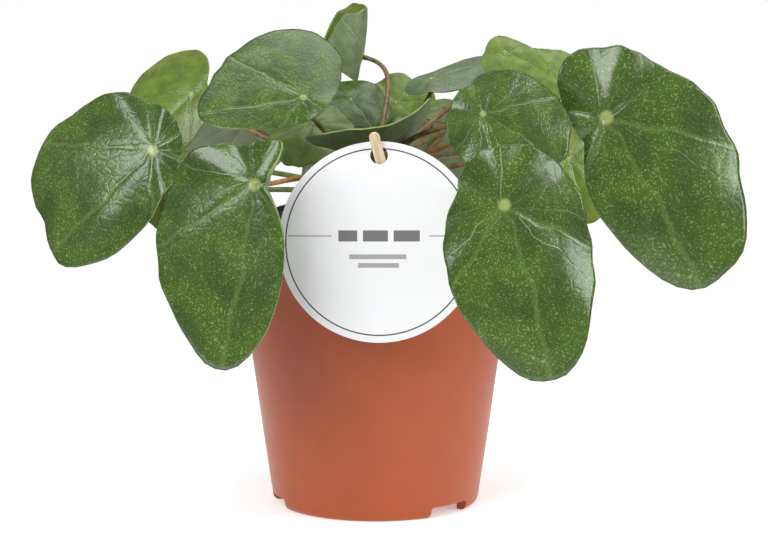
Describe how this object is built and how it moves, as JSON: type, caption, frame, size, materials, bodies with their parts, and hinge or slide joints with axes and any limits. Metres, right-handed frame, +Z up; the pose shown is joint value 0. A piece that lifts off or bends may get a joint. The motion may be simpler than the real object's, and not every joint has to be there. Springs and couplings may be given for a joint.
{
  "type": "potted pilea plant",
  "caption": "Bushy house plant with round, peltate leaves on long petioles, in a tapered plastic nursery pot with a round blank card on a stick.",
  "frame": {"origin": "under the middle of the whole plant's spread, on the plane that the pot's foot stands on; the pot's axis is 4 mm to its left and 6 mm in front of it", "axes": "+Z up, parallel to the pot's axis; -Y the front, where the card hangs; +X to the right of someone who looks at the card"},
  "size_m": [0.2964, 0.2157, 0.2097],
  "materials": {
    "pot_plastic": "satin",
    "peat": "matte",
    "stem_bark": "matte",
    "leaf_green": "satin",
    "petiole_skin": "satin",
    "card_white": "satin",
    "stick_wood": "matte"
  },
  "bodies": {
    "root": {"pot": "pot_plastic", "soil": "peat", "stem": "stem_bark", "card": "card_white", "stick": "stick_wood", "leaf_far_left": "leaf_green", "petiole_far_left": "petiole_skin", "leaf_front_left": "leaf_green", "petiole_front_left": "petiole_skin", "leaf_back_left": "leaf_green", "petiole_back_left": "petiole_skin", "leaf_upper_left": "leaf_green", "petiole_upper_left": "petiole_skin", "leaf_back_upright": "leaf_green", "petiole_back_upright": "petiole_skin", "leaf_low_centre_left": "leaf_green", "petiole_low_centre_left": "petiole_skin", "leaf_low_centre_right": "leaf_green", "petiole_low_centre_right": "petiole_skin", "leaf_cupped_centre": "leaf_green", "petiole_cupped_centre": "petiole_skin", "leaf_mid_centre": "leaf_green", "petiole_mid_centre": "petiole_skin", "leaf_mid_back": "leaf_green", "petiole_mid_back": "petiole_skin", "leaf_arched_right": "leaf_green", "petiole_arched_right": "petiole_skin", "leaf_small_top": "leaf_green", "petiole_small_top": "petiole_skin", "leaf_back_right_top": "leaf_green", "petiole_back_right_top": "petiole_skin", "leaf_right_centre": "leaf_green", "petiole_right_centre": "petiole_skin", "leaf_front_right": "leaf_green", "petiole_front_right": "petiole_skin", "leaf_far_right": "leaf_green", "petiole_far_right": "petiole_skin", "leaf_right_behind": "leaf_green", "petiole_right_behind": "petiole_skin", "leaf_left_behind": "leaf_green", "petiole_left_behind": "petiole_skin", "leaf_right_low_behind": "leaf_green", "petiole_right_low_behind": "petiole_skin", "leaf_rear_left": "leaf_green", "petiole_rear_left": "petiole_skin", "leaf_rear_right": "leaf_green", "petiole_rear_right": "petiole_skin", "leaf_rear_middle": "leaf_green", "petiole_rear_middle": "petiole_skin"}
  },
  "joints": []
}
